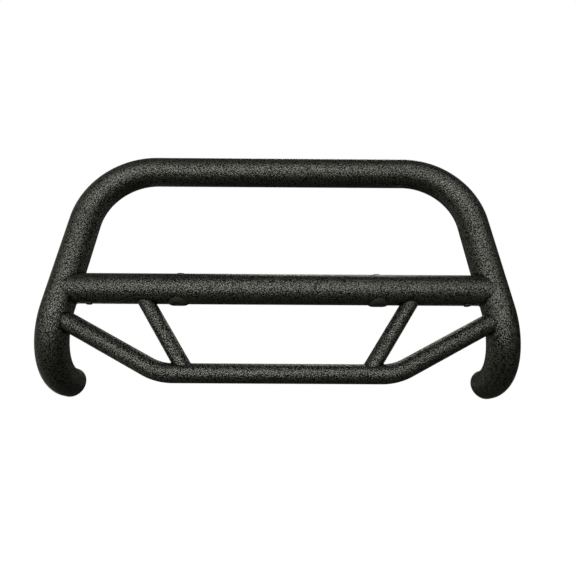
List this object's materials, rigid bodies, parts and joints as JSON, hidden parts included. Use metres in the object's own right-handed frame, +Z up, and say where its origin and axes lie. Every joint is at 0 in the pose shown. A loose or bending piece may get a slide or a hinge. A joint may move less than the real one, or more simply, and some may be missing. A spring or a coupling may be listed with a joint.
{
  "type": "front grille guard",
  "caption": "Tubular steel front grille guard: a wide hoop with hooked mounting ends, a cross tube, a bent lower tube and slanted struts.",
  "frame": {"origin": "midway between the two mounting plates, on their rear faces", "axes": "+Z up, +Y back towards the vehicle, +X to the right of someone facing the guard from the front"},
  "size_m": [0.9908, 0.183, 0.5171],
  "materials": {
    "textured_black_steel": "coarse textured black powder coat",
    "zinc_plated_steel": "zinc plated",
    "black_rubber": "matte"
  },
  "bodies": {
    "root": {"hoop_tube": "textured_black_steel", "cross_tube": "textured_black_steel", "lower_tube": "textured_black_steel", "strut_left": "textured_black_steel", "strut_right": "textured_black_steel", "end_plate_left": "textured_black_steel", "end_plate_right": "textured_black_steel", "weld_nut_upper_left": "zinc_plated_steel", "weld_nut_lower_left": "zinc_plated_steel", "weld_nut_upper_right": "zinc_plated_steel", "weld_nut_lower_right": "zinc_plated_steel", "lamp_hole_plug_left": "black_rubber", "lamp_hole_plug_right": "black_rubber", "access_hole_plug_left": "black_rubber", "access_hole_plug_right": "black_rubber", "wire_grommet_left": "black_rubber", "wire_grommet_right": "black_rubber", "weld_cross_left": "textured_black_steel", "weld_cross_right": "textured_black_steel", "weld_lower_left": "textured_black_steel", "weld_lower_right": "textured_black_steel", "weld_strut_top_left": "textured_black_steel", "weld_strut_top_right": "textured_black_steel", "weld_strut_foot_left": "textured_black_steel", "weld_strut_foot_right": "textured_black_steel", "weld_plate_left": "textured_black_steel", "weld_plate_right": "textured_black_steel"}
  },
  "joints": []
}
